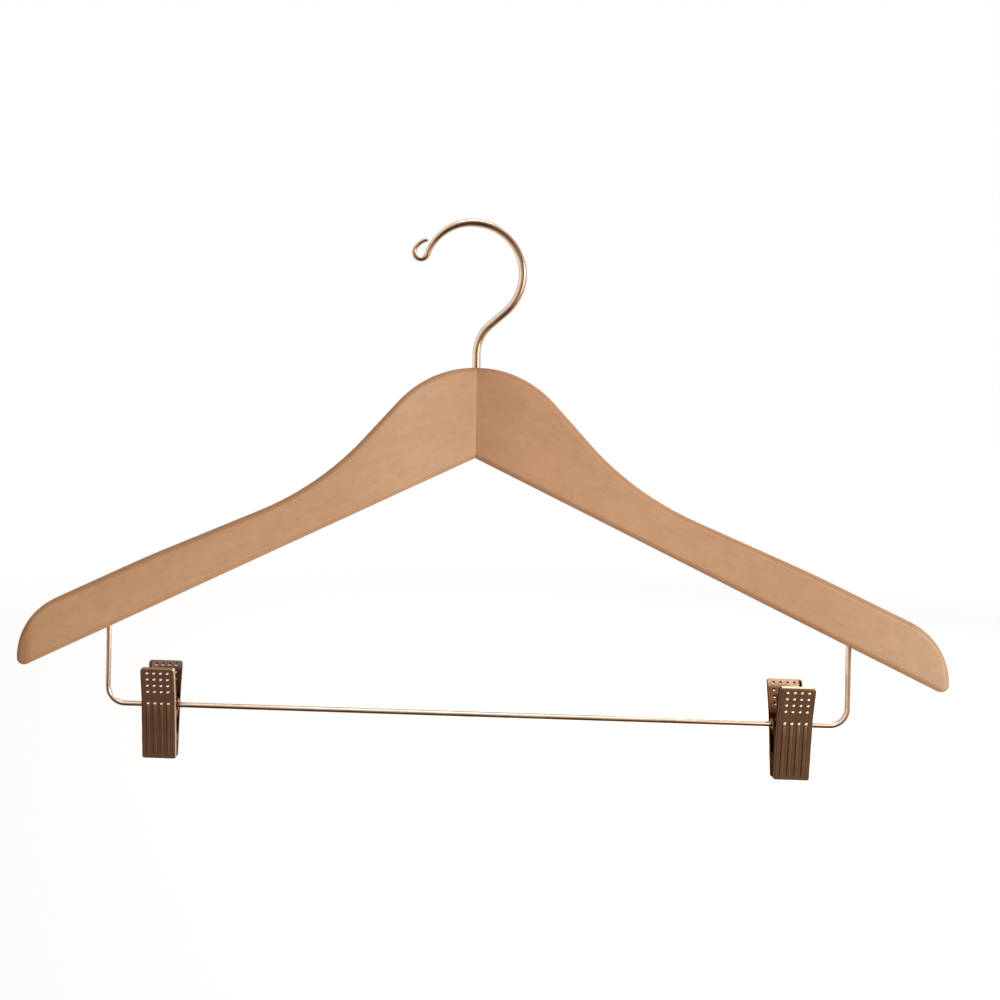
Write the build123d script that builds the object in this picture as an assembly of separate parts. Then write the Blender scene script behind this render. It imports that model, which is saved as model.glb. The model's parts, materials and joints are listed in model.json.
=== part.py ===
from build123d import *
from math import asin, atan2, ceil, cos, degrees, hypot, pi, radians, sin, tan
import os

os.makedirs("parts", exist_ok=True)

# A wooden trouser hanger. Lengths are in millimetres and angles in degrees.
# X runs along the hanger, Z is up and the front looks toward -Y. The origin is
# on the hook's turning axis, level with the inner crown that sits on a rail.

# Wooden arms, each drawn in its own flat plane from the joint outward
arm_reach = 222.9
arm_thickness = 12.0
arm_sweep_angle = 3.0
arm_edge_round = 3.0
crest_run = 23.0
crest_round = 51.0
shoulder_run = 76.6
shoulder_drop = 59.7
shoulder_round = 146.0
waist_share = 0.57
waist_angle = 23.3
waist_round = 500.0
tip_angle = 25.4
tip_top_round = 31.0
tip_bottom_round = 3.6
apex_drop = 44.5
lower_angle = 25.7

# Finger joint that holds the two arms together
finger_length = 9.0
finger_count = 2

# Hook wire, its ridged shank and the bore that it turns in
hook_wire = 4.0
hook_tip_wire = 2.2
neck_run = 7.3
neck_bend_radius = 18.6
neck_bend_angle = 48.7
throat_run = 9.5
crown_radius = 25.3
crown_angle = 140.6
heel_radius = 23.1
heel_angle = 69.7
curl_radius = 3.4
curl_angle = 189.4
curl_tail_radius = 9.3
curl_tail_angle = 45.5
shank_depth = 26.0
ridge_height = 0.5
ridge_pitch = 3.2
ridge_half_width = 0.8
ridge_flat = 0.12
ridge_margin = 1.6
shank_clearance = 0.06
shank_end_gap = 0.6

# Trouser bar, one wire with both ends pressed up into the arms
bar_wire = 2.5
leg_inset = 44.0
leg_length = 37.9
bar_bend_radius = 8.5
leg_insert = 12.0
leg_clearance = 0.03
leg_end_gap = 0.5

# Clips, two pressed trays that turn on a hollow rivet round the bar
clip_inset = 26.6
clip_width = 16.8
clip_sheet = 0.6
clip_bend = 0.9
rim_depth = 2.3
lever_rise = 19.4
lever_spread = 9.7
knee_rise = 3.5
knee_spread = 6.0
jaw_drop = 26.0
jaw_spread = 2.7
lever_corner_round = 1.5
jaw_corner_round = 1.1

# Ears, tabs and notches along the sides of each tray
ear_radius = 3.0
ear_drop = 8.0
ear_gap = 0.1
ear_relief = 0.35
knee_notch = 1.4
tab_spread = 0.45
tab_chamfer = 0.6
tab_top_drop = 14.0
tab_bottom_drop = 17.5

# Pressed dimples on the levers and ribs on the jaws
dimple_columns = 4
dimple_rows = 4
dimple_sides = 8
dimple_diameter = 1.7
dimple_flat = 0.6
dimple_height = 0.4
dimple_pitch_across = 3.3
dimple_pitch_down = 3.25
dimple_top_margin = 2.1
rib_width = 1.5
rib_height = 0.25
rib_top_margin = 0.7
rib_bottom_margin = 1.6

# Hollow rivet
rivet_wall = 0.4
rivet_bore_clearance = 0.08
rivet_ear_clearance = 0.06
rivet_head_thickness = 0.5
rivet_head_overhang = 0.6
rivet_head_gap = 0.06

# Torsion spring round the rivet
spring_wire = 0.9
spring_wire_sides = 8
spring_coil_radius = 2.4
spring_full_turns = 3
spring_pitch = 1.35
spring_leg_length = 14.0
spring_seat_gap = 0.06

# Jaw pads
pad_top_drop = 16.6
pad_side_gap = 0.15
pad_end_gap = 0.35
pad_face_gap = 0.3
pad_groove_count = 4
pad_groove_depth = 0.3

# How far cutting tools reach past what they cut
overrun = 5.0


def hook_route():
    """The hook's stretches from the wood up: kind, length or radius, and turn."""
    return [
        ("line", neck_run, 0),
        ("arc", neck_bend_radius, -neck_bend_angle),
        ("line", throat_run, 0),
        ("arc", crown_radius, crown_angle),
        ("arc", heel_radius, heel_angle),
        ("arc", curl_radius, -curl_angle),
        ("arc", curl_tail_radius, -curl_tail_angle),
    ]


def walk_route(route):
    """Start point and heading of each stretch, and the crown's height, from the wood up."""
    x, z, heading = 0.0, 0.0, 90.0
    starts = []
    top = 0.0
    for kind, size, turn in route:
        starts.append((x, z, heading))
        if kind == "line":
            x += size * cos(radians(heading))
            z += size * sin(radians(heading))
            continue
        side = 1 if turn > 0 else -1
        centre_x = x - side * size * sin(radians(heading))
        centre_z = z + side * size * cos(radians(heading))
        if turn > 0:
            top = max(top, centre_z + size)
        heading += turn
        x = centre_x + side * size * sin(radians(heading))
        z = centre_z - side * size * cos(radians(heading))
    starts.append((x, z, heading))
    return starts, top


hook_starts, crown_height = walk_route(hook_route())

# Heights and places that follow from the sizes above
wood_top = -(crown_height - hook_wire / 2)
sweep_slope = tan(radians(arm_sweep_angle))
lower_slope = tan(radians(lower_angle))
waist_run = shoulder_run + waist_share * (arm_reach - shoulder_run)
waist_drop = shoulder_drop + (waist_run - shoulder_run) * tan(radians(waist_angle))
tip_top_drop = waist_drop + (arm_reach - waist_run) * tan(radians(tip_angle))
tip_bottom_drop = apex_drop + arm_reach * lower_slope
leg_reach = arm_reach * cos(radians(arm_sweep_angle)) - leg_inset
leg_entry = wood_top - apex_drop - lower_slope * leg_reach / cos(radians(arm_sweep_angle))
bar_z = leg_entry - leg_length
bar_y = -leg_reach * sweep_slope
clip_place = leg_reach - clip_inset
rivet_bore = bar_wire + 2 * rivet_bore_clearance
rivet_outer = rivet_bore + 2 * rivet_wall
lever_tilt = atan2(lever_spread - knee_spread, lever_rise - knee_rise)
lever_length = hypot(lever_spread - knee_spread, lever_rise - knee_rise)
jaw_tilt = atan2(knee_spread - jaw_spread, knee_rise + jaw_drop)
jaw_length = hypot(knee_spread - jaw_spread, knee_rise + jaw_drop)
lever_inside = knee_spread * cos(lever_tilt) - knee_rise * sin(lever_tilt) - clip_sheet


def arm_half():
    """The right half of the wood, swept forward and cut on the joint's plane."""
    outline = FilletPolyline(
        (-overrun, 0),
        (crest_run, 0),
        (shoulder_run, -shoulder_drop),
        (waist_run, -waist_drop),
        (arm_reach, -tip_top_drop),
        (arm_reach, -tip_bottom_drop),
        (-overrun, -apex_drop + lower_slope * overrun),
        radius=[crest_round, shoulder_round, waist_round, tip_top_round, tip_bottom_round],
    )
    face = make_face(outline + Line(outline @ 1, outline @ 0))
    half = extrude(Plane.XZ * face, amount=arm_thickness / 2, both=True)
    sides = half.edges().group_by(Axis.Y)
    half = fillet(sides[0] + sides[-1], radius=arm_edge_round)
    half = Pos(0, 0, wood_top) * Rot(0, 0, -arm_sweep_angle) * half
    keep = Box(2 * arm_reach, 2 * arm_reach, 2 * arm_reach, align=(Align.MIN, Align.CENTER, Align.MAX))
    return half & Pos(0, 0, overrun + wood_top) * keep


def finger_slots():
    """The boxes across the joint in which one arm's tongues fill the other's slots."""
    width = arm_thickness / (2 * finger_count + 1)
    slots = []
    for k in range(finger_count):
        place = (2 * k - finger_count + 1) * width
        box = Box(finger_length, width, 2 * arm_reach, align=(Align.MIN, Align.CENTER, Align.CENTER))
        slots.append(Pos(0, place, wood_top) * box)
    return slots


def shank(grow):
    """The hook's ridged shank as a turned solid, grown all round for the bore."""
    core = hook_wire / 2
    crest = core + ridge_height
    points = [(0, 0), (core + grow, 0)]
    count = int((shank_depth - 2 * ridge_margin) / ridge_pitch)
    for k in range(count):
        z = -ridge_margin - (k + 0.5) * ridge_pitch
        foot = ridge_half_width + grow
        tip = ridge_flat + grow
        points += [(core + grow, z + foot), (crest + grow, z + tip)]
        points += [(crest + grow, z - tip), (core + grow, z - foot)]
    depth = shank_depth + (shank_end_gap if grow else 0)
    points += [(core + grow, -depth), (0, -depth)]
    face = make_face(Polyline(*points, close=True))
    return Pos(0, 0, wood_top) * revolve(Plane.XZ * face, axis=Axis.Z)


def hook():
    """The wire hook: ridged shank, neck, round crown and a thinned curl at its end."""
    stretches = []
    for (kind, size, turn), (x, z, heading) in zip(hook_route(), hook_starts):
        start = (x, z)
        tangent = (cos(radians(heading)), sin(radians(heading)))
        if kind == "line":
            end = (x + size * tangent[0], z + size * tangent[1])
            stretches.append(Line(start, end))
        else:
            stretches.append(JernArc(start, tangent, size, turn))
    wood = Pos(0, 0, wood_top)
    full = Plane.XZ * Wire([edge for part in stretches[:4] for edge in part.edges()])
    thin = Plane.XZ * Wire([edge for part in stretches[4:] for edge in part.edges()])
    stem = sweep(Plane(full @ 0, z_dir=full % 0) * Circle(hook_wire / 2), path=full)
    bend = heel_radius * heel_angle
    curl = curl_radius * curl_angle
    tail = curl_tail_radius * curl_tail_angle
    shares = [0, bend / (bend + curl + tail), (bend + curl) / (bend + curl + tail), 1]
    sections = []
    for share in shares:
        radius = hook_wire / 2 + (hook_tip_wire - hook_wire) / 2 * share
        sections.append(Plane(thin @ share, z_dir=thin % share) * Circle(radius))
    tapered = sweep(sections, path=thin, multisection=True)
    end = Pos(*(thin @ 1)) * Sphere(hook_tip_wire / 2)
    return wood * (stem + tapered + end) + shank(0)


def trouser_bar():
    """One wire: two legs up into the arms and the straight bar between them."""
    top = leg_entry + leg_insert
    route = FilletPolyline(
        (-leg_reach, bar_y, top),
        (-leg_reach, bar_y, bar_z),
        (leg_reach, bar_y, bar_z),
        (leg_reach, bar_y, top),
        radius=bar_bend_radius,
    )
    return sweep(Plane(route @ 0, z_dir=route % 0) * Circle(bar_wire / 2), path=route)


def leg_holes():
    """The two blind holes in the arms that take the ends of the bar's legs."""
    depth = leg_insert + leg_end_gap
    holes = []
    for side in (-1, 1):
        hole = Cylinder(
            bar_wire / 2 + leg_clearance,
            depth + overrun,
            align=(Align.CENTER, Align.CENTER, Align.MAX),
        )
        holes.append(Pos(side * leg_reach, bar_y, leg_entry + depth) * hole)
    return holes


def rivet():
    """The hollow rivet on which a clip turns and slides, with a head past each ear."""
    inner = clip_width / 2 + rivet_head_gap
    outer = inner + rivet_head_thickness
    bore = rivet_bore / 2
    wall = rivet_outer / 2
    head = wall + rivet_head_overhang
    points = [
        (bore, -outer),
        (head - rivet_head_thickness / 2, -outer),
        (head, -inner - rivet_head_thickness / 2),
        (head, -inner),
        (wall, -inner),
        (wall, inner),
        (head, inner),
        (head, inner + rivet_head_thickness / 2),
        (head - rivet_head_thickness / 2, outer),
        (bore, outer),
    ]
    face = make_face(Polyline(*points, close=True))
    return Rot(0, 90, 0) * revolve(Plane.XZ * face, axis=Axis.Z)


def outside_y(z):
    """Y of a front tray's outer face at a height beside its jaw."""
    return -(knee_spread - (knee_rise - z) * tan(jaw_tilt))


def inside_y(z):
    """Y of a front tray's inner face at a height beside its jaw."""
    return outside_y(z) + clip_sheet / cos(jaw_tilt)


def face_plane(tilt):
    """A plane on a front tray's outer face, facing out, with its origin at the knee."""
    return Plane(
        origin=(0, -knee_spread, knee_rise),
        x_dir=(1, 0, 0),
        z_dir=(0, -cos(tilt), -sin(tilt)),
    )


def tray(low, high, corner):
    """A pressed tray between two places along its face, with one end's corners round."""
    outline = Pos(0, (low + high) / 2) * Rectangle(clip_width, high - low)
    ends = outline.vertices().group_by(Axis.Y)
    outline = fillet(ends[-1] if high > -low else ends[0], corner)
    shell = extrude(outline, amount=-rim_depth)
    shell = fillet(shell.edges().group_by(Axis.Z)[-1], clip_bend)
    pocket = offset(outline, amount=-clip_sheet)
    return shell - Pos(0, 0, -clip_sheet) * extrude(pocket, amount=-rim_depth)


def half_space(tilt, side):
    """A large block on one side of the knee's crease, which halves the bend."""
    size = 4 * jaw_drop
    block = Pos(0, side * size / 2, 0) * Box(size, size, size)
    return face_plane(tilt) * block


def tray_sides(face, inner_x):
    """A side outline as a wall of sheet at each side of a tray."""
    wall = extrude(Plane.YZ * face, amount=clip_sheet)
    return Pos(inner_x, 0, 0) * wall + Pos(-inner_x - clip_sheet, 0, 0) * wall


def tab_outline():
    """Side outline of the tab that closes the gap between the jaws' rims."""
    return make_face(
        Polyline(
            (inside_y(-tab_top_drop), -tab_top_drop),
            (-tab_spread - tab_chamfer, -tab_top_drop),
            (-tab_spread, -tab_top_drop - tab_chamfer),
            (-tab_spread, -tab_bottom_drop + tab_chamfer),
            (-tab_spread - tab_chamfer, -tab_bottom_drop),
            (inside_y(-tab_bottom_drop), -tab_bottom_drop),
            close=True,
        )
    )


def ear_outline():
    """Side outline of the ear that turns on the rivet."""
    wing = make_face(
        Polyline(
            (inside_y(ear_radius), ear_radius),
            (0, ear_radius),
            (0, -ear_radius),
            (inside_y(-ear_drop), -ear_drop),
            close=True,
        )
    )
    return wing + Circle(ear_radius) - Circle(rivet_outer / 2 + rivet_ear_clearance)


def notch_outline():
    """Side outline of the notch in the rims that lets the tray bend at the knee."""
    return make_face(
        Polyline(
            (inside_y(knee_rise), knee_rise),
            (inside_y(knee_rise) + rim_depth, knee_rise - knee_notch / 2),
            (inside_y(knee_rise) + rim_depth, knee_rise + knee_notch),
            close=True,
        )
    )


def dimple():
    """One pressed dimple, standing on its wide end."""
    slope = (dimple_diameter - dimple_flat) / 2 * cos(pi / dimple_sides)
    taper = degrees(atan2(slope, dimple_height))
    return extrude(RegularPolygon(dimple_diameter / 2, dimple_sides), dimple_height, taper=taper)


def rib_outline(length):
    """The outline of one rib, centred, with its corners cut off."""
    cut = rib_width / 3
    half = length / 2
    side = rib_width / 2
    points = [(side, half - cut), (side - cut, half), (cut - side, half), (-side, half - cut)]
    points += [(-x, -y) for x, y in points]
    return make_face(Polyline(*points, close=True))


def dot_rows():
    """Heights up the lever of its rows of dimples."""
    top = lever_length - dimple_top_margin
    return [top - row * dimple_pitch_down for row in range(dimple_rows)]


def column_places():
    """Places across a tray of its columns of dimples and ribs."""
    middle = (dimple_columns - 1) / 2
    return [(column - middle) * dimple_pitch_across for column in range(dimple_columns)]


def clip_plate(ear_inset):
    """One pressed tray that faces -Y, with its pivot on the X axis."""
    crease = (lever_tilt + jaw_tilt) / 2
    lever = face_plane(lever_tilt) * tray(-overrun, lever_length, lever_corner_round)
    jaw = face_plane(jaw_tilt) * tray(-jaw_length, overrun, jaw_corner_round)
    plate = (lever & half_space(crease, 1)) + (jaw & half_space(crease, -1))
    notch = extrude(Plane.YZ * notch_outline(), amount=clip_width, both=True)
    plate = plate - notch
    wall_x = clip_width / 2 - clip_sheet
    plate += tray_sides(tab_outline(), wall_x)
    if ear_inset:
        plate -= tray_sides(Circle(ear_radius + ear_relief), wall_x)
    plate += tray_sides(ear_outline(), wall_x - ear_inset)
    bump = dimple()
    dent = Pos(0, 0, -clip_sheet) * bump
    for x in column_places():
        for y in dot_rows():
            spot = face_plane(lever_tilt) * Pos(x, y, 0)
            plate = plate + spot * bump - spot * dent
    rib_top = -rib_top_margin
    rib_bottom = -jaw_length + rib_bottom_margin
    rib = extrude(rib_outline(rib_top - rib_bottom), amount=rib_height + clip_sheet / 2)
    for x in column_places():
        place = Pos(x, (rib_top + rib_bottom) / 2, -clip_sheet / 2)
        plate += face_plane(jaw_tilt) * place * rib
        plate += face_plane(jaw_tilt) * Pos(x, rib_top - dimple_diameter / 2, 0) * bump
    return plate


def jaw_pad():
    """The soft pad inside a front tray's jaw, grooved across its gripping face."""
    bottom = jaw_drop - clip_sheet - pad_end_gap
    grip = -pad_face_gap / 2
    pitch = (bottom - pad_top_drop) / pad_groove_count
    points = [(inside_y(-pad_top_drop), -pad_top_drop)]
    for k in range(pad_groove_count):
        top = -pad_top_drop - k * pitch
        points += [(grip - pad_groove_depth, top), (grip, top - pitch / 4)]
        points += [(grip, top - pitch * 3 / 4)]
    points += [(grip - pad_groove_depth, -bottom), (inside_y(-bottom), -bottom)]
    face = make_face(Polyline(*points, close=True))
    width = clip_width - 2 * clip_sheet - 2 * pad_side_gap
    pad = extrude(Plane.YZ * face, amount=width / 2, both=True)
    return fillet(pad.edges().filter_by(Axis.Y).group_by(Axis.Z)[0], jaw_corner_round)


def biarc(start, start_way, end, end_way):
    """Two arcs that join two points and share a tangent where they meet."""
    span = end - start
    ways = start_way + end_way
    a = ways.dot(ways) - 4
    b = -2 * span.dot(ways)
    c = span.dot(span)
    reach = (-b - (b * b - 4 * a * c) ** 0.5) / (2 * a)
    first = start + start_way * reach
    second = end - end_way * reach
    middle = (first + second) * 0.5
    along = (second - first).normalized()
    return [
        TangentArc(start, middle, tangent=start_way),
        TangentArc(middle, end, tangent=along),
    ]


def spring():
    """The torsion spring: a coil round the rivet and two legs against the levers."""
    wire = spring_wire / 2
    lean = asin((lever_inside - spring_coil_radius - wire - spring_seat_gap) / spring_leg_length)
    tilt = lever_tilt + lean
    wrap = pi - 2 * tilt + 2 * pi * spring_full_turns
    steps = ceil(wrap / (pi / 2))
    rise = spring_pitch / (2 * pi)

    def place(angle):
        turned = -tilt - angle
        x = rise * (angle - wrap / 2)
        return Vector(x, spring_coil_radius * cos(turned), spring_coil_radius * sin(turned))

    def way(angle):
        turned = -tilt - angle
        y = spring_coil_radius * sin(turned)
        z = -spring_coil_radius * cos(turned)
        return Vector(rise, y, z).normalized()

    edges = [Line(place(0) - way(0) * spring_leg_length, place(0))]
    for k in range(steps):
        begin = wrap * k / steps
        end = wrap * (k + 1) / steps
        edges += biarc(place(begin), way(begin), place(end), way(end))
    edges += [Line(place(wrap), place(wrap) + way(wrap) * spring_leg_length)]
    route = Wire([edge for part in edges for edge in part.edges()])
    samples = 40 * steps
    points = [place(wrap * k / samples) for k in range(samples + 1)]
    apart = samples * pi / wrap
    least = min(
        (points[i] - points[j]).length
        for i in range(samples + 1)
        for j in range(i + ceil(apart), samples + 1)
    )
    print("spring least gap to itself", round(least - spring_wire, 3))
    section = RegularPolygon(wire, spring_wire_sides)
    return sweep(Plane(route @ 0, z_dir=route % 0) * section, path=route)


# Wood, hook and bar
right_half = arm_half()
left_half = mirror(right_half, about=Plane.YZ)
slots = finger_slots()
bore = shank(shank_clearance)
left_arm = left_half
right_arm = right_half
for box in slots:
    left_arm = left_arm + (right_half & box)
    right_arm = right_arm - box
left_arm = left_arm - bore - leg_holes()[0]
right_arm = right_arm - bore - leg_holes()[1]
nodes = {
    "hook": hook(),
    "left_arm": left_arm,
    "right_arm": right_arm,
    "trouser_bar": trouser_bar(),
}

# Clips, one near each end of the bar
turn_back = Rot(0, 0, 180)
front_plate = clip_plate(0)
back_plate = turn_back * clip_plate(clip_sheet + ear_gap)
pad = jaw_pad()
clip = {
    "rivet": rivet(),
    "front_plate": front_plate,
    "back_plate": back_plate,
    "spring": spring(),
    "front_pad": pad,
    "back_pad": turn_back * pad,
}
for side_name, side in (("left", -1), ("right", 1)):
    seat = Pos(side * clip_place, bar_y, bar_z)
    for name, piece in clip.items():
        nodes[side_name + "_" + name] = seat * piece

for name, solid in nodes.items():
    export_step(solid, "parts/" + name + ".step")
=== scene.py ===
import json
import math

import bmesh
import bpy
from mathutils import Matrix, Vector


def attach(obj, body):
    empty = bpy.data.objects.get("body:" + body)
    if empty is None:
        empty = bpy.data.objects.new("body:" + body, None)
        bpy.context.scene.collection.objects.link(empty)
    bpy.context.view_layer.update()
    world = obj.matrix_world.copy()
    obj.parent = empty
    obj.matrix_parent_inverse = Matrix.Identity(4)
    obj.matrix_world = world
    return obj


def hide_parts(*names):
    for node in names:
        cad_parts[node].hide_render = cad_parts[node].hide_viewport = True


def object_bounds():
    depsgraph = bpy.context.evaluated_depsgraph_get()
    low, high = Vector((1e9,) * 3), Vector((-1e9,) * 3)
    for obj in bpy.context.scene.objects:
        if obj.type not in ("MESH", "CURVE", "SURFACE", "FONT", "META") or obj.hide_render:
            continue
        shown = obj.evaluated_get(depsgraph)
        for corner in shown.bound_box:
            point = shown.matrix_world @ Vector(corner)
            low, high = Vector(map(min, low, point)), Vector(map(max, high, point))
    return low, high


# A wooden trouser hanger: its looks, camera and light. Lengths are in metres. Tones are
# 0 to 255 display values, which linear() turns into the shader's own.

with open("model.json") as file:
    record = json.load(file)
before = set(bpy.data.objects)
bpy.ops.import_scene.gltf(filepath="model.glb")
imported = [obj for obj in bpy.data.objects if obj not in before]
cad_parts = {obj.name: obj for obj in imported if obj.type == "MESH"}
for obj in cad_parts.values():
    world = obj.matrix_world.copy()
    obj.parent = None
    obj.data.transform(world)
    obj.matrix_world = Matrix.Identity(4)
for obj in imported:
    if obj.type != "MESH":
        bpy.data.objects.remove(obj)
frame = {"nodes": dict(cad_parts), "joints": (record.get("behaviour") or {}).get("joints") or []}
cad_low, cad_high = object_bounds()
nodes = frame["nodes"]
pivots = {joint["name"]: Vector(joint["pos_m"]) for joint in frame["joints"] if "pos_m" in joint}
wood_top = pivots["hook_swivel"].z


# Measures of the solids that the looks follow

ARM_REACH = 0.2225
KNEE_RISE, KNEE_SPREAD = 0.0035, 0.0060
LEVER_RISE, LEVER_SPREAD = 0.0194, 0.0097
JAW_DROP, JAW_SPREAD = 0.0260, 0.0027
SHEET = 0.0006
LEVER_TILT = math.atan2(LEVER_SPREAD - KNEE_SPREAD, LEVER_RISE - KNEE_RISE)
LEVER_LENGTH = math.hypot(LEVER_SPREAD - KNEE_SPREAD, LEVER_RISE - KNEE_RISE)
JAW_TILT = math.atan2(KNEE_SPREAD - JAW_SPREAD, KNEE_RISE + JAW_DROP)
JAW_LENGTH = math.hypot(KNEE_SPREAD - JAW_SPREAD, KNEE_RISE + JAW_DROP)
COLUMN_PITCH, ROW_PITCH, ROW_MARGIN = 0.0033, 0.00325, 0.0021
COLUMNS = [(k - 1.5) * COLUMN_PITCH for k in range(4)]
DOT_ROWS = [LEVER_LENGTH - ROW_MARGIN - k * ROW_PITCH for k in range(4)]
RIB_TOP, RIB_BOTTOM = -0.0007, 0.0016 - JAW_LENGTH
RIB_HEAD = RIB_TOP - 0.00085


# Camera

SENSOR_WIDTH, LENS = 36, 34.79
SHIFT_X, SHIFT_Y = 0.129, -0.0733
CAMERA_TURN, CAMERA_ROLL = math.radians(2.584), math.radians(1.079)
CAMERA_PLACE = (-0.030, -0.480, wood_top - 0.030)


def make_camera():
    """The photograph's viewpoint: level, turned a little left and rolled a little."""
    data = bpy.data.cameras.new("camera")
    data.sensor_width = SENSOR_WIDTH
    data.lens = LENS
    data.shift_x = SHIFT_X
    data.shift_y = SHIFT_Y
    ahead = Vector((-math.sin(CAMERA_TURN), math.cos(CAMERA_TURN), 0))
    level = Vector((math.cos(CAMERA_TURN), math.sin(CAMERA_TURN), 0))
    across = level * math.cos(CAMERA_ROLL) + Vector((0, 0, math.sin(CAMERA_ROLL)))
    up = Vector((0, 0, math.cos(CAMERA_ROLL))) - level * math.sin(CAMERA_ROLL)
    place = Matrix((across, up, -ahead)).transposed().to_4x4()
    place.translation = Vector(CAMERA_PLACE)
    camera = bpy.data.objects.new("camera", data)
    camera.matrix_world = place
    bpy.context.scene.collection.objects.link(camera)
    bpy.context.scene.camera = camera


# Nodes

def linear(red, green, blue):
    """A colour given as 0 to 255 display values, as linear values."""
    values = []
    for value in (red, green, blue):
        share = value / 255
        values.append(share / 12.92 if share <= 0.04045 else ((share + 0.055) / 1.055) ** 2.4)
    return (*values, 1.0)


def grey(value):
    """A linear grey."""
    return (value, value, value, 1.0)


def new_material(name):
    """A material with its tree and its Principled shader."""
    material = bpy.data.materials.new(name)
    material.use_nodes = True
    return material, material.node_tree, material.node_tree.nodes["Principled BSDF"]


def feed(tree, node, inputs):
    """Links a node's inputs to sockets, or sets them to plain values."""
    for key, item in inputs.items():
        if isinstance(item, bpy.types.NodeSocket):
            tree.links.new(item, node.inputs[key])
        else:
            node.inputs[key].default_value = item


def add(tree, kind, inputs=None, **settings):
    """A node with its settings and inputs."""
    node = tree.nodes.new(kind)
    for key, value in settings.items():
        setattr(node, key, value)
    feed(tree, node, inputs or {})
    return node


def mathed(tree, operation, *items):
    """One or two values through a Math node."""
    return add(tree, "ShaderNodeMath", dict(enumerate(items)), operation=operation).outputs[0]


def dotted(tree, first, second):
    """The dot product of two vectors."""
    inputs = {0: first, 1: second}
    node = add(tree, "ShaderNodeVectorMath", inputs, operation="DOT_PRODUCT")
    return node.outputs["Value"]


def mapped(tree, value, low, high, to_low=0.0, to_high=1.0):
    """A value's range as another range, held at its ends."""
    inputs = {"Value": value, "From Min": low, "From Max": high}
    inputs.update({"To Min": to_low, "To Max": to_high})
    return add(tree, "ShaderNodeMapRange", inputs).outputs["Result"]


def mixed(tree, factor, first, second, blend="MIX"):
    """Two colours mixed; 0, 6 and 7 are the Mix node's factor and its two colours."""
    inputs = {0: factor, 6: first, 7: second}
    return add(tree, "ShaderNodeMix", inputs, data_type="RGBA", blend_type=blend).outputs[2]


def multiplied(tree, first, second):
    """Two colours multiplied."""
    return mixed(tree, 1.0, first, second, "MULTIPLY")


def ramp(tree, factor, stops):
    """A colour ramp through (place, colour) stops."""
    node = add(tree, "ShaderNodeValToRGB", {"Fac": factor})
    elements = node.color_ramp.elements
    while len(elements) < len(stops):
        elements.new(0.5)
    for element, (place, colour) in zip(elements, stops):
        element.position = place
        element.color = colour
    return node.outputs["Color"]


def greys(tree, factor, *stops):
    """A ramp of greys through (place, value) stops."""
    return ramp(tree, factor, [(place, grey(value)) for place, value in stops])


def axes(tree, vector):
    """A vector's X, Y and Z."""
    return add(tree, "ShaderNodeSeparateXYZ", {"Vector": vector}).outputs


def noise(tree, vector, scale, detail, rough, distortion=0.0):
    """A noise pattern from about 0.3 to 0.7."""
    inputs = {"Vector": vector, "Scale": scale, "Detail": detail, "Roughness": rough}
    inputs["Distortion"] = distortion
    return add(tree, "ShaderNodeTexNoise", inputs).outputs["Fac"]


def bump(tree, height, strength, distance):
    """A normal that follows a height."""
    inputs = {"Height": height, "Strength": strength, "Distance": distance}
    return add(tree, "ShaderNodeBump", inputs).outputs["Normal"]


def stretched(tree, coordinates, turn, scale):
    """Coordinates turned about Y and stretched, for grain that runs along an arm."""
    turned = add(tree, "ShaderNodeMapping", {"Vector": coordinates, "Rotation": (0, turn, 0)})
    inputs = {"Vector": turned.outputs["Vector"], "Scale": scale}
    return add(tree, "ShaderNodeMapping", inputs).outputs["Vector"]


def seen_plainly(tree):
    """1 to the camera, a reflection and glass, and 0 to the light that it gives."""
    path = add(tree, "ShaderNodeLightPath").outputs
    seen = mathed(tree, "MAXIMUM", path["Is Camera Ray"], path["Is Glossy Ray"])
    return mathed(tree, "MAXIMUM", seen, path["Is Transmission Ray"])


# Wood

GRAIN_TURN = math.radians(-25)
BROAD_STRETCH, GRAIN_STRETCH, FLECK_STRETCH = (8, 40, 30), (30, 420, 380), (260, 900, 700)
MOTTLE_SCALE = 130
# Painted shade on the rounded edges: its tint, and where it starts and ends by how far a face
# turns from the front and back.
EDGE_SHADE_TINT = (0.90, 0.84, 0.77, 1.0)
EDGE_SHADE_STARTS, EDGE_SHADE_ENDS = 0.945, 0.985
# The wood's colour along each arm, from the joint (0) to the tip (1), with painted light and
# shade: the left arm lighter near the joint and darker at its tip's end, the right arm darker at
# the joint and lighter toward its tip.
LEFT_LIT_TONES = [
    (0.00, (199, 154, 118)),
    (0.14, (203, 160, 125)),
    (0.30, (196, 150, 113)),
    (0.60, (195, 149, 112)),
    (0.93, (191, 145, 106)),
    (0.962, (189, 142, 103)),
    (0.978, (164, 116, 77)),
]
RIGHT_LIT_TONES = [
    (0.00, (180, 132, 98)),
    (0.12, (194, 145, 107)),
    (0.34, (195, 148, 110)),
    (0.72, (190, 143, 106)),
    (0.98, (194, 156, 121)),
]


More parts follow.
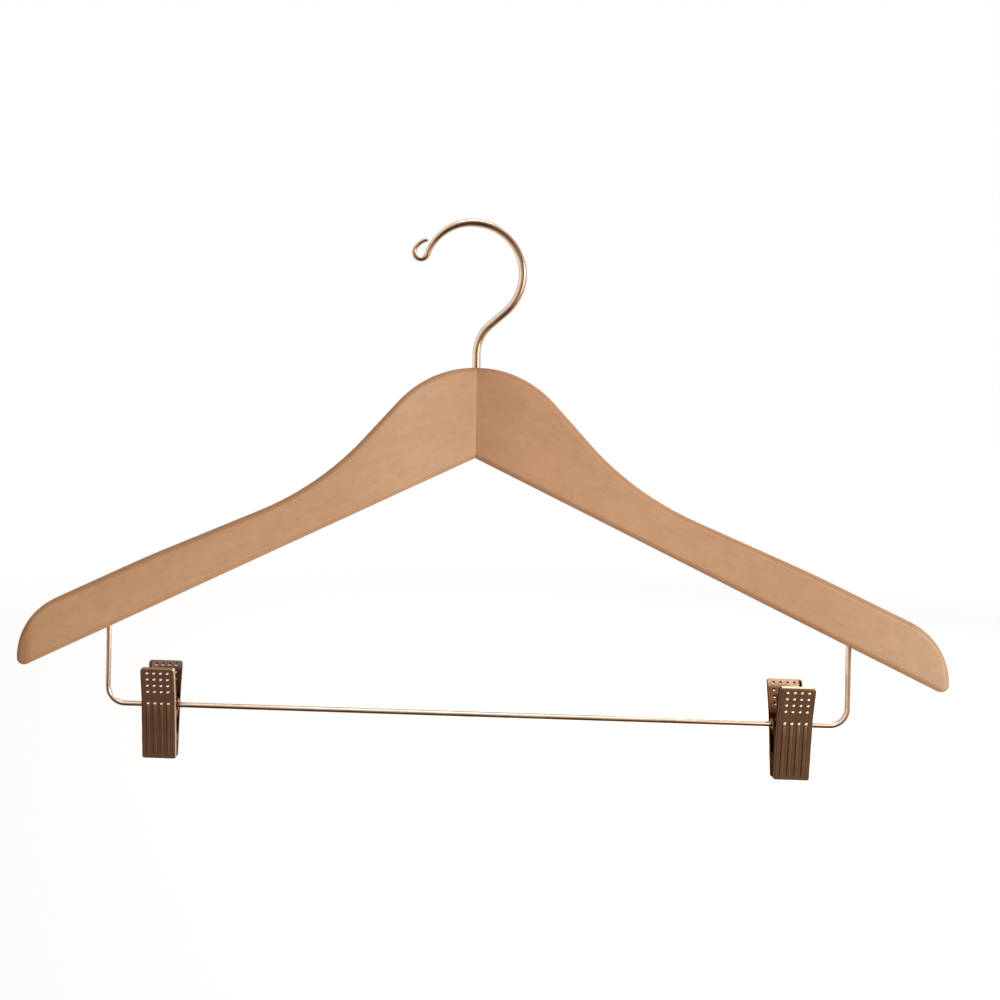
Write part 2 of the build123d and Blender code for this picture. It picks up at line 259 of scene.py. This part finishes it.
def wood_material(name, side, tones):
    """Pale beech under a clear satin lacquer, with painted light and shade that change slowly
    along the arm, and painted shade on its rounded edges.
    """
    material, tree, shader = new_material(name)
    coordinates = add(tree, "ShaderNodeTexCoord").outputs
    place, turn = coordinates["Object"], side * GRAIN_TURN
    broad = noise(tree, stretched(tree, place, turn, BROAD_STRETCH), 1.0, 4, 0.55, 0.6)
    grain = noise(tree, stretched(tree, place, turn, GRAIN_STRETCH), 1.0, 5, 0.6, 0.4)
    fleck = noise(tree, stretched(tree, place, turn, FLECK_STRETCH), 1.0, 2, 0.5)
    mottle = noise(tree, place, MOTTLE_SCALE, 4, 0.6)
    # Painted light and shade that change along the arm, from the joint to the tip.
    along = mapped(tree, axes(tree, place)["X"], 0.0, side * ARM_REACH)
    tone = ramp(tree, along, [(share, linear(*colour)) for share, colour in tones])
    for pattern, dark, light in (
        (broad, (0.3, 0.955), (0.7, 1.04)),
        (mottle, (0.3, 0.945), (0.7, 1.045)),
        (grain, (0.3, 0.965), (0.7, 1.02)),
        (fleck, (0.58, 1.0), (0.72, 0.91)),
    ):
        tone = multiplied(tree, tone, greys(tree, pattern, dark, light))
    # Painted shade on the rounded edges, where a face turns from the front and back.
    facing = mathed(tree, "ABSOLUTE", axes(tree, coordinates["Normal"])["Y"])
    edge = ramp(tree, facing, [(EDGE_SHADE_STARTS, EDGE_SHADE_TINT), (EDGE_SHADE_ENDS, grey(1.0))])
    height = mathed(tree, "ADD", grain, fleck)
    feed(tree, shader, {
        "Base Color": multiplied(tree, tone, edge),
        "Roughness": greys(tree, grain, (0.3, 0.46), (0.7, 0.58)),
        "Specular IOR Level": 0.3,
        "Coat Weight": 0.12,
        "Coat Roughness": 0.35,
        "Normal": bump(tree, height, 0.1, 0.00012),
    })
    return material


# Metal and plastic

SMUDGE_SCALE, FINE_SCALE, DRIFT_SCALE, DRIFT = 120, 2100, 60, 0.03
PLATING_TINT = (0.5, 0.38, 0.3, 1.0)
# Painted highlight on sharp metal edges: how much brighter they are.
EDGE_HIGHLIGHT = 1.6
WIRE_EDGE, SHEET_EDGE, RIB_EDGE, FINE_EDGE = 0.0002, 0.00025, 0.00012, 0.0001
MIRROR, PLATED, SATIN, DRAWN = (0.1, 0.2), (0.16, 0.28), (0.2, 0.3), (0.25, 0.4)
# Painted light on faces that look right and painted shade on faces that look left.
FLANKS = (0.28, 1.6)
# Painted highlight that brightens the ribs toward their tops.
RIB_GLOW_LENGTH, RIB_GLOW = 0.009, 1.6
AHEAD, BEHIND, ACROSS = (0.0, -1.0, 0.0), (0.0, 1.0, 0.0), (1.0, 0.0, 0.0)
BELOW = (0.08, 0.93, -0.36)
# Painted reflections on the wires: darkest where a wire faces front or back and downward, a
# bright band beside that, paler where it faces aside.
WIRE_TONES = [
    (-0.40, (208, 182, 160)),
    (0.15, (212, 186, 163)),
    (0.55, (246, 233, 221)),
    (0.78, (196, 166, 140)),
    (0.92, (130, 98, 74)),
    (0.985, (60, 39, 24)),
]
# Painted reflections on the plates: dark where a plate looks out, a pale band where its faces
# turn aside, mid brown on its inner side.
SHEET_TONES = [
    (-0.90, (128, 103, 87)),
    (-0.20, (128, 103, 87)),
    (0.25, (156, 128, 108)),
    (0.50, (206, 182, 165)),
    (0.72, (124, 95, 74)),
    (0.86, (88, 62, 44)),
    (1.00, (92, 66, 49)),
]
# Painted light and shade across each rib: darkest where a face looks left, lightest near its
# crest, darker again where it looks right.
RIB_TONES = [
    (-0.50, (54, 36, 23)),
    (-0.12, (82, 58, 41)),
    (0.06, (106, 78, 58)),
    (0.25, (92, 66, 48)),
    (0.60, (66, 45, 31)),
]
# Painted highlight on the dimples' tops and on the dents' lower sides.
GLINT_TONES = [(0.30, (250, 238, 228)), (1.00, (246, 230, 218))]
# A paler painted ring around each dimple's highlight.
SLOPE_TONES = [(0.30, (168, 138, 118)), (1.00, (160, 130, 110))]
# Painted shade in the dents' upper sides.
HOLLOW_TONES = [(0.30, (84, 58, 42)), (1.00, (74, 50, 35))]
# Painted reflections on the rivet and the spring: paler where they face aside, darker where they
# face front or back.
RIVET_TONES = [(0.20, (150, 124, 106)), (0.90, (96, 70, 52))]
SPRING_TONES = [(0.40, (176, 160, 142)), (0.95, (112, 98, 84))]
PAD_DARK, PAD_LIGHT = linear(196, 184, 168), linear(224, 214, 200)


def highlight_edges(tree, radius, starts=0.02, full=0.2):
    """A mask that is 1 on sharp edges, from the angle to a softened normal, for a painted
    highlight.
    """
    soft = add(tree, "ShaderNodeBevel", {"Radius": radius}, samples=6).outputs["Normal"]
    sharp = add(tree, "ShaderNodeNewGeometry").outputs["Normal"]
    return mapped(tree, dotted(tree, soft, sharp), 1 - starts, 1 - full)


def metal_material(name, tones, roughness, edge, toward, both=True, flanks=None, fade=None):
    """Plated metal with a painted highlight on its sharp edges; its tone follows the way a face
    looks, as painted reflections and shade.

    tones run from -1, away from the direction toward, to 1. With both, the front and the
    back look alike. flanks are the shares of painted light and shade on faces that look
    left and right, and fade is a low height, a high one, and the share of painted light at
    the high one.
    """
    material, tree, shader = new_material(name)
    coordinates = add(tree, "ShaderNodeTexCoord").outputs
    place, normal = coordinates["Object"], axes(tree, coordinates["Normal"])
    depth = mathed(tree, "ABSOLUTE", normal["Y"]) if both else normal["Y"]
    parts = {"X": normal["X"], "Y": depth, "Z": normal["Z"]}
    look = add(tree, "ShaderNodeCombineXYZ", parts).outputs["Vector"]
    smudge = noise(tree, place, SMUDGE_SCALE, 4, 0.6, 0.5)
    fine = noise(tree, place, FINE_SCALE, 3, 0.6)
    drift = mapped(tree, noise(tree, place, DRIFT_SCALE, 2, 0.5), 0.3, 0.7, -DRIFT, DRIFT)
    # Painted reflections and shade: the tone follows how far a face looks toward the given
    # direction.
    facing = mathed(tree, "ADD", dotted(tree, look, toward), drift)
    stops = [((spot + 1) / 2, linear(*colour)) for spot, colour in tones]
    tone = ramp(tree, mapped(tree, facing, -1.0, 1.0), stops)
    tone = multiplied(tree, tone, greys(tree, smudge, (0.3, 0.88), (0.7, 1.1)))
    # Painted light on faces that look right, painted shade on faces that look left.
    if flanks:
        left, right = flanks
        turned = mapped(tree, normal["X"], -1.0, 1.0)
        shade = greys(tree, turned, (0.1, left), (0.4, 1.0), (0.6, 1.0), (0.9, right))
        tone = multiplied(tree, tone, shade)
    # Painted highlight, brighter toward the top.
    if fade:
        low, high, strength = fade
        near = mapped(tree, axes(tree, place)["Z"], low, high, 1.0, strength)
        lift = add(tree, "ShaderNodeCombineXYZ", {"X": near, "Y": near, "Z": near})
        tone = multiplied(tree, tone, lift.outputs["Vector"])
    # Painted highlight on sharp edges.
    highlit = multiplied(tree, tone, grey(EDGE_HIGHLIGHT))
    smooth, rough = roughness
    feed(tree, shader, {
        "Base Color": mixed(tree, highlight_edges(tree, edge), tone, highlit),
        "Metallic": 1.0,
        "Specular Tint": PLATING_TINT,
        "Roughness": greys(tree, smudge, (0.25, smooth), (0.75, rough)),
        "Normal": bump(tree, fine, 0.05, 0.00004),
    })
    return material


def pad_material():
    """Soft clear plastic, slightly clouded."""
    material, tree, shader = new_material("jaw_pvc")
    cloud = noise(tree, add(tree, "ShaderNodeTexCoord").outputs["Object"], 400, 3, 0.5)
    feed(tree, shader, {
        "Base Color": ramp(tree, cloud, [(0.3, PAD_DARK), (0.7, PAD_LIGHT)]),
        "Roughness": greys(tree, cloud, (0.3, 0.34), (0.7, 0.5)),
        "Transmission Weight": 0.35,
        "IOR": 1.5,
        "Normal": bump(tree, cloud, 0.1, 0.0001),
    })
    return material


def dress(piece, material):
    """Gives a piece one material in place of its own."""
    piece.data.materials.clear()
    piece.data.materials.append(material)


# Floor and light

WHITE = (1, 1, 1, 1)
FLOOR_COLOUR = (0.86, 0.85, 0.84, 1)
FLOOR_DROP, FLOOR_REACH = 0.32, 30.0
GLOW_NEAR, GLOW_FAR = (0.7, 0.36), (3.5, 0.70)
WORLD_LIGHT = 0.34
LAMPS_AIM = (0, 0, wood_top - 0.09)
# Each lamp's name, place, size, power and colour
LAMPS = (
    ("key", (1.75, -1.6, 0.15), (0.9, 0.9), 34.0, (1.0, 0.98, 0.95)),
    ("front", (0.50, -0.92, -0.04), (0.25, 0.25), 0.7, (1.0, 0.98, 0.95)),
    ("back", (0.9, 1.4, 0.9), (0.8, 0.8), 15.0, (1.0, 0.98, 0.96)),
    ("top", (0.1, -0.5, 1.5), (0.9, 0.5), 4.0, (1.0, 0.98, 0.96)),
)


def make_floor():
    """A pale floor well below the hanger; it looks white and keeps the shadow."""
    material, tree, shader = new_material("floor")
    place = add(tree, "ShaderNodeTexCoord").outputs["Object"]
    away = add(tree, "ShaderNodeVectorMath", {0: place}, operation="LENGTH").outputs["Value"]
    (near, dim), (far, bright) = GLOW_NEAR, GLOW_FAR
    glow = mapped(tree, away, near, far, dim, bright)
    feed(tree, shader, {
        "Base Color": FLOOR_COLOUR,
        "Roughness": 0.9,
        "Emission Color": WHITE,
        "Emission Strength": mathed(tree, "MULTIPLY", seen_plainly(tree), glow),
    })
    mesh = bpy.data.meshes.new("floor")
    low = cad_low.z - FLOOR_DROP
    corners = [
        (across * FLOOR_REACH, ahead * FLOOR_REACH, low)
        for across, ahead in ((-1, -1), (1, -1), (1, 1), (-1, 1))
    ]
    mesh.from_pydata(corners, [], [(0, 1, 2, 3)])
    mesh.materials.append(material)
    floor = bpy.data.objects.new("floor", mesh)
    bpy.context.scene.collection.objects.link(floor)


def make_world():
    """Soft even light, and plain white where the camera or a reflection sees it."""
    world = bpy.data.worlds.new("world")
    bpy.context.scene.world = world
    world.use_nodes = True
    tree = world.node_tree
    strength = mapped(tree, seen_plainly(tree), 0.0, 1.0, WORLD_LIGHT, 1.0)
    feed(tree, tree.nodes["Background"], {"Color": WHITE, "Strength": strength})


def make_lamp(name, place, size, power, colour):
    """An area lamp that looks at the middle of the hanger."""
    data = bpy.data.lights.new(name, "AREA")
    data.shape = "RECTANGLE"
    data.size, data.size_y = size
    data.energy = power
    data.color = colour
    lamp = bpy.data.objects.new(name, data)
    lamp.location = place
    lamp.rotation_mode = "QUATERNION"
    lamp.rotation_quaternion = (Vector(LAMPS_AIM) - Vector(place)).to_track_quat("-Z", "Y")
    bpy.context.scene.collection.objects.link(lamp)


# Pressed details of the clips

RIBBED, GLINTING, SLOPING, HOLLOWED = range(4)
AROUND = 24
DOME_RADIUS, DOME_HEIGHT, DOME_RINGS = 0.00090, 0.000438, 9
BRIGHT_WIDTH, BRIGHT_HEIGHT, BRIGHT_RISE, SLOPE_REACH = 0.00060, 0.00040, 0.00008, 1.4
DENT_RADIUS, DENT_DEPTH, DENT_RINGS, DENT_PROUD, DENT_LIT = 0.00086, 0.0003, 7, 0.00001, 0.25
RIB_HALF, RIB_HEIGHT, RIB_ACROSS, RIB_ALONG, RIB_END = 0.00105, 0.0003, 12, 24, 1.5


def face_matrix(tilt):
    """From a front tray's face, with X across, Y up the face and Z out of it, to its clip."""
    across = Vector((1, 0, 0))
    up = Vector((0, -math.sin(tilt), math.cos(tilt)))
    out = Vector((0, -math.cos(tilt), -math.sin(tilt)))
    matrix = Matrix((across, up, out)).transposed().to_4x4()
    matrix.translation = Vector((0, -KNEE_SPREAD, KNEE_RISE))
    return matrix


def add_round(mesh, matrix, x, y, rings, profile, paint, inward=False):
    """A round form on a face. profile gives a ring's radius and rise, paint a face's look."""
    top = mesh.verts.new(matrix @ Vector((x, y, profile(0)[1])))
    last = None
    for ring in range(1, rings + 1):
        out, rise = profile(ring)
        row = []
        for k in range(AROUND):
            turn = 2 * math.pi * k / AROUND
            spot = Vector((x + out * math.cos(turn), y + out * math.sin(turn), rise))
            row.append(mesh.verts.new(matrix @ spot))
        for k in range(AROUND):
            beside = (k + 1) % AROUND
            first, second = (beside, k) if inward else (k, beside)
            if last is None:
                corners = (top, row[first], row[second])
            else:
                corners = (last[first], row[first], row[second], last[second])
            turn = 2 * math.pi * (k + 0.5) / AROUND
            looks = paint(out * math.cos(turn), out * math.sin(turn))
            mesh.faces.new(corners).material_index = looks
        last = row


def add_dome(mesh, matrix, x, y):
    """A smooth round dimple on a face, with a painted highlight on its top and a paler
    painted ring around that.
    """
    ball = (DOME_RADIUS * DOME_RADIUS + DOME_HEIGHT * DOME_HEIGHT) / (2 * DOME_HEIGHT)
    widest = math.asin(DOME_RADIUS / ball)

    def profile(ring):
        angle = widest * ring / DOME_RINGS
        return ball * math.sin(angle), ball * math.cos(angle) - ball + DOME_HEIGHT

    # Painted highlight on the top, a paler painted ring around it, and the rib look beyond.
    def paint(aside, above):
        reach = math.hypot(aside / BRIGHT_WIDTH, (above - BRIGHT_RISE) / BRIGHT_HEIGHT)
        return GLINTING if reach < 1 else SLOPING if reach < SLOPE_REACH else RIBBED

    add_round(mesh, matrix, x, y, DOME_RINGS, profile, paint)


def add_dent(mesh, matrix, x, y):
    """The smooth hollow behind a dimple, with a painted highlight on its lower side and
    painted shade above it.
    """

    def profile(ring):
        share = ring / DENT_RINGS
        return DENT_RADIUS * share, -SHEET - DENT_PROUD + DENT_DEPTH * (1 - share * share)

    # Painted highlight on the lower side, painted shade above.
    def paint(_, above):
        return GLINTING if above < -DENT_LIT * DENT_RADIUS else HOLLOWED

    add_round(mesh, matrix, x, y, DENT_RINGS, profile, paint, inward=True)


def add_rib(mesh, matrix, x):
    """A smooth pressed rib down a face, fading out at its ends."""
    grid = []
    for k in range(RIB_ALONG + 1):
        share = k / RIB_ALONG
        y = RIB_TOP + (RIB_BOTTOM - RIB_TOP) * share
        near_end = min(share, 1 - share) * RIB_ALONG / RIB_END
        fade = math.sqrt(1 - (1 - min(near_end, 1)) ** 2)
        row = []
        for j in range(RIB_ACROSS + 1):
            u = 2 * j / RIB_ACROSS - 1
            rise = RIB_HEIGHT * math.sqrt(max(0, 1 - u ** 4)) * fade
            row.append(mesh.verts.new(matrix @ Vector((x + RIB_HALF * u, y, rise))))
        grid.append(row)
    for k in range(RIB_ALONG):
        for j in range(RIB_ACROSS):
            mesh.faces.new((grid[k][j], grid[k + 1][j], grid[k + 1][j + 1], grid[k][j + 1]))


def finish_piece(mesh, name, materials):
    """An object made from mesh data, with its materials."""
    mesh.normal_update()
    data = bpy.data.meshes.new(name)
    mesh.to_mesh(data)
    mesh.free()
    for material in materials:
        data.materials.append(material)
    piece = bpy.data.objects.new(name, data)
    bpy.context.scene.collection.objects.link(piece)
    return piece


def make_pressings(side, face, materials):
    """The smooth dimples and ribs of one plate, as one piece that rides with it."""
    mesh = bmesh.new()
    place = Matrix.Translation(pivots[side + "_clip_swing"])
    if face == "back":
        place = place @ Matrix.Rotation(math.pi, 4, "Z")
    lever, jaw = place @ face_matrix(LEVER_TILT), place @ face_matrix(JAW_TILT)
    for x in COLUMNS:
        for y in DOT_ROWS:
            add_dome(mesh, lever, x, y)
            add_dent(mesh, lever, x, y)
        add_dome(mesh, jaw, x, RIB_HEAD)
        add_rib(mesh, jaw, x)
    for part in mesh.faces:
        part.smooth = True
    piece = finish_piece(mesh, side + "_" + face + "_pressings", materials)
    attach(piece, side + ("_jaw" if face == "front" else "_clip"))


# Springs

SPRING_WIRE, COIL_RADIUS, COIL_PITCH, COIL_TURNS = 0.00045, 0.0024, 0.00135, 3
LEG_LENGTH, LEG_GAP, LEG_THINNED = 0.0140, 0.00006, 0.985
PARTING = math.radians(40)
COIL_STEPS, BEND_STEPS, LEG_STEPS, WIRE_SIDES = 150, 10, 6, 14


def tube(name, points, radius, material):
    """A round wire along points, closed at both ends."""
    mesh = bmesh.new()
    ways = []
    for k in range(len(points)):
        before, after = points[max(k - 1, 0)], points[min(k + 1, len(points) - 1)]
        ways.append((after - before).normalized())
    across = ways[0].orthogonal().normalized()
    rings = []
    for point, way in zip(points, ways):
        across = (across - way * across.dot(way)).normalized()
        up = way.cross(across)
        ring = []
        for k in range(WIRE_SIDES):
            turn = 2 * math.pi * k / WIRE_SIDES
            out = across * math.cos(turn) + up * math.sin(turn)
            ring.append(mesh.verts.new(point + out * radius))
        rings.append(ring)
    for last, ring in zip(rings, rings[1:]):
        for k in range(WIRE_SIDES):
            beside = (k + 1) % WIRE_SIDES
            mesh.faces.new((last[k], last[beside], ring[beside], ring[k]))
    for part in mesh.faces:
        part.smooth = True
    mesh.faces.new(list(reversed(rings[0])))
    mesh.faces.new(rings[-1])
    return finish_piece(mesh, name, [material])


def make_spring(side, material):
    """The spring as round wire, parted where its front leg leaves the coil for the jaw."""
    inside = KNEE_SPREAD * math.cos(LEVER_TILT) - KNEE_RISE * math.sin(LEVER_TILT) - SHEET
    tilt = LEVER_TILT + math.asin((inside - COIL_RADIUS - SPRING_WIRE - LEG_GAP) / LEG_LENGTH)
    wrap = math.pi - 2 * tilt + 2 * math.pi * COIL_TURNS
    rise = COIL_PITCH / (2 * math.pi)
    centre = pivots[side + "_clip_swing"]

    def place(angle):
        turned = -tilt - angle
        aside = rise * (angle - wrap / 2)
        ring = COIL_RADIUS * math.cos(turned), COIL_RADIUS * math.sin(turned)
        return centre + Vector((aside, *ring))

    def way(angle):
        turned = -tilt - angle
        ring = COIL_RADIUS * math.sin(turned), -COIL_RADIUS * math.cos(turned)
        return Vector((rise, *ring)).normalized()

    parting = wrap - PARTING
    coil = [place(parting * k / COIL_STEPS) for k in range(COIL_STEPS + 1)]
    back_leg = [place(0) - way(0) * LEG_LENGTH * (1 - k / LEG_STEPS) for k in range(LEG_STEPS)]
    bend = [place(parting + (wrap - parting) * k / BEND_STEPS) for k in range(BEND_STEPS + 1)]
    front_leg = [
        place(wrap) + way(wrap) * LEG_LENGTH * (k + 1) / LEG_STEPS for k in range(LEG_STEPS)
    ]
    main = tube(side + "_spring_coil", back_leg + coil, SPRING_WIRE, material)
    lever = tube(side + "_spring_leg", bend + front_leg, SPRING_WIRE * LEG_THINNED, material)
    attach(main, side + "_clip")
    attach(lever, side + "_jaw")
    for piece in (main, lever):
        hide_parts(side + "_spring")


# Making

make_camera()
make_floor()
make_world()
for lamp in LAMPS:
    make_lamp(*lamp)

# Painted highlight on the ribs toward their tops.
rib_top = pivots["left_clip_swing"].z + KNEE_RISE
rib_fade = (rib_top - RIB_GLOW_LENGTH, rib_top, RIB_GLOW)
wire = metal_material("plated_wire", WIRE_TONES, MIRROR, WIRE_EDGE, BELOW)
rivet = metal_material("plated_rivet", RIVET_TONES, PLATED, FINE_EDGE, BEHIND)
sheets = {
    face: metal_material(
        "plated_" + face, SHEET_TONES, PLATED, SHEET_EDGE, toward, both=False, flanks=FLANKS
    )
    for face, toward in (("front", AHEAD), ("back", BEHIND))
}
# The ribs' painted light and shade, the dimples' painted highlights and paler painted rings, and
# the dents' painted shade.
pressed = [
    metal_material("plated_ribs", RIB_TONES, PLATED, RIB_EDGE, ACROSS, fade=rib_fade),
    metal_material("plated_tops", GLINT_TONES, SATIN, FINE_EDGE, BEHIND),
    metal_material("plated_slopes", SLOPE_TONES, SATIN, FINE_EDGE, BEHIND),
    metal_material("plated_hollows", HOLLOW_TONES, SATIN, FINE_EDGE, BEHIND),
]
steel = metal_material("spring_steel", SPRING_TONES, DRAWN, FINE_EDGE, BEHIND)
pvc = pad_material()

dress(nodes["left_arm"], wood_material("wood_left", -1, LEFT_LIT_TONES))
dress(nodes["right_arm"], wood_material("wood_right", 1, RIGHT_LIT_TONES))
dress(nodes["hook"], wire)
dress(nodes["trouser_bar"], wire)
for side in ("left", "right"):
    dress(nodes[side + "_rivet"], rivet)
    for face, sheet in sheets.items():
        dress(nodes[side + "_" + face + "_plate"], sheet)
        dress(nodes[side + "_" + face + "_pad"], pvc)
        make_pressings(side, face, pressed)
    dress(nodes[side + "_spring"], steel)
    make_spring(side, steel)

bpy.context.scene.view_settings.view_transform = "Standard"
